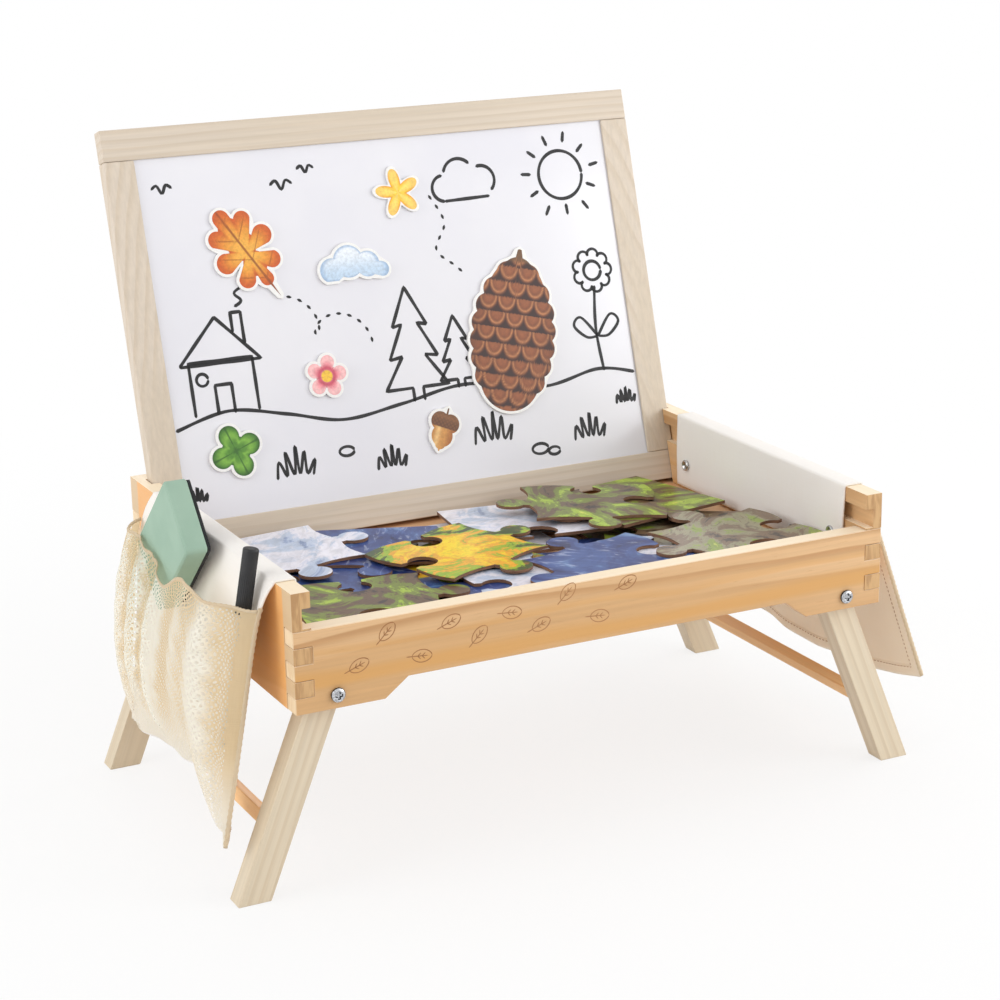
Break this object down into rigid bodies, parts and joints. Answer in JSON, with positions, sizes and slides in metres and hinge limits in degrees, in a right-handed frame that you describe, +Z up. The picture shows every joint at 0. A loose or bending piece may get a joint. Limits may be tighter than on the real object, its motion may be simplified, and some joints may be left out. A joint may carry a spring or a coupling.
{
  "type": "kids activity table",
  "caption": "Folding lap table for a child: finger-jointed wooden tray on hinged leg frames, leaning dry-erase board, canvas pouches with net pockets over the side walls.",
  "frame": {"origin": "on the ground under the middle of the whole table's box, legs open and board standing", "axes": "+X across the table to the right, +Y to the back where the board stands, +Z up"},
  "size_m": [0.5649, 0.3749, 0.461],
  "materials": {
    "pine": "bare sanded pine, satin",
    "plywood": "thin plywood, matte",
    "bare_wood": "bare hardwood, matte",
    "cream_paint": "wood with a thin cream stain, satin",
    "dry_erase": "fibreboard with a white dry-erase face, glossy",
    "zinc": "zinc plated steel",
    "canvas": "woven cotton canvas",
    "net": "knitted net",
    "marker_white": "white plastic",
    "marker_grey": "dark grey plastic",
    "marker_ink": "inked felt",
    "eraser_green": "soft foam, matte",
    "felt_black": "black felt",
    "cone_brown": "printed magnet",
    "leaf_orange": "printed magnet",
    "leaf_green": "printed magnet",
    "star_yellow": "printed magnet",
    "cloud_blue": "printed magnet",
    "flower_pink": "printed magnet",
    "jigsaw_blue": "printed greyboard",
    "jigsaw_green": "printed greyboard",
    "jigsaw_yellow": "printed greyboard",
    "jigsaw_brown": "printed greyboard",
    "jigsaw_white": "printed greyboard"
  },
  "bodies": {
    "table": {"front_rail": "pine", "back_rail": "pine", "left_wall": "pine", "right_wall": "pine", "floor_panel": "plywood", "pivot_bolt_front_left": "zinc", "pivot_bolt_front_right": "zinc", "pivot_bolt_back_left": "zinc", "pivot_bolt_back_right": "zinc", "pivot_washer_front_left": "zinc", "pivot_washer_front_right": "zinc", "pivot_washer_back_left": "zinc", "pivot_washer_back_right": "zinc", "pivot_nut_front_left": "zinc", "pivot_nut_front_right": "zinc", "pivot_nut_back_left": "zinc", "pivot_nut_back_right": "zinc", "left_stud_front": "zinc", "left_stud_back": "zinc", "right_stud_front": "zinc", "right_stud_back": "zinc", "left_canvas": "canvas", "right_canvas": "canvas", "left_net": "net", "right_net": "net", "jigsaw_a": "jigsaw_green", "jigsaw_b": "jigsaw_brown", "jigsaw_c": "jigsaw_yellow", "jigsaw_d": "jigsaw_blue", "jigsaw_e": "jigsaw_white", "jigsaw_f": "jigsaw_green", "jigsaw_g": "jigsaw_blue", "jigsaw_h": "jigsaw_white", "jigsaw_i": "jigsaw_yellow", "jigsaw_j": "jigsaw_brown", "jigsaw_k": "jigsaw_white", "jigsaw_l": "jigsaw_green"},
    "left_leg_frame": {"left_leg_front": "cream_paint", "left_leg_back": "cream_paint", "left_stretcher": "bare_wood"},
    "right_leg_frame": {"right_leg_front": "cream_paint", "right_leg_back": "cream_paint", "right_stretcher": "bare_wood"},
    "board": {"board_bottom_rail": "cream_paint", "board_top_rail": "cream_paint", "board_left_stile": "cream_paint", "board_right_stile": "cream_paint", "white_panel": "dry_erase", "magnet_pine_cone": "cone_brown", "magnet_oak_leaf": "leaf_orange", "magnet_acorn": "leaf_orange", "magnet_clover": "leaf_green", "magnet_star": "star_yellow", "magnet_cloud": "cloud_blue", "magnet_flower": "flower_pink"},
    "marker": {"marker_barrel": "marker_white", "marker_nib": "marker_ink"},
    "marker_cap": {"marker_cap": "marker_grey"},
    "eraser": {"eraser_block": "eraser_green", "eraser_felt": "felt_black"}
  },
  "joints": [
    {"name": "left_legs_fold", "type": "hinge", "parent": "table", "child": "left_leg_frame", "pos_m": [-0.196, -0.0272, 0.1415], "axis": [0, -1, 0], "range_deg": [0, 112]},
    {"name": "right_legs_fold", "type": "hinge", "parent": "table", "child": "right_leg_frame", "pos_m": [0.196, -0.0272, 0.1415], "axis": [0, 1, 0], "range_deg": [0, 112]},
    {"name": "board_lift", "type": "slide", "parent": "table", "child": "board", "axis": [0, 0.284, 0.9588], "range_m": [0, 0.06]},
    {"name": "marker_lift", "type": "slide", "parent": "table", "child": "marker", "axis": [0.1735, -0.0294, 0.9844], "range_m": [0, 0.095]},
    {"name": "cap_pull", "type": "slide", "parent": "marker", "child": "marker_cap", "axis": [0.1735, -0.0294, 0.9844], "range_m": [0, 0.03]},
    {"name": "eraser_lift", "type": "slide", "parent": "table", "child": "eraser", "axis": [0, 0, 1], "range_m": [0, 0.05]}
  ]
}
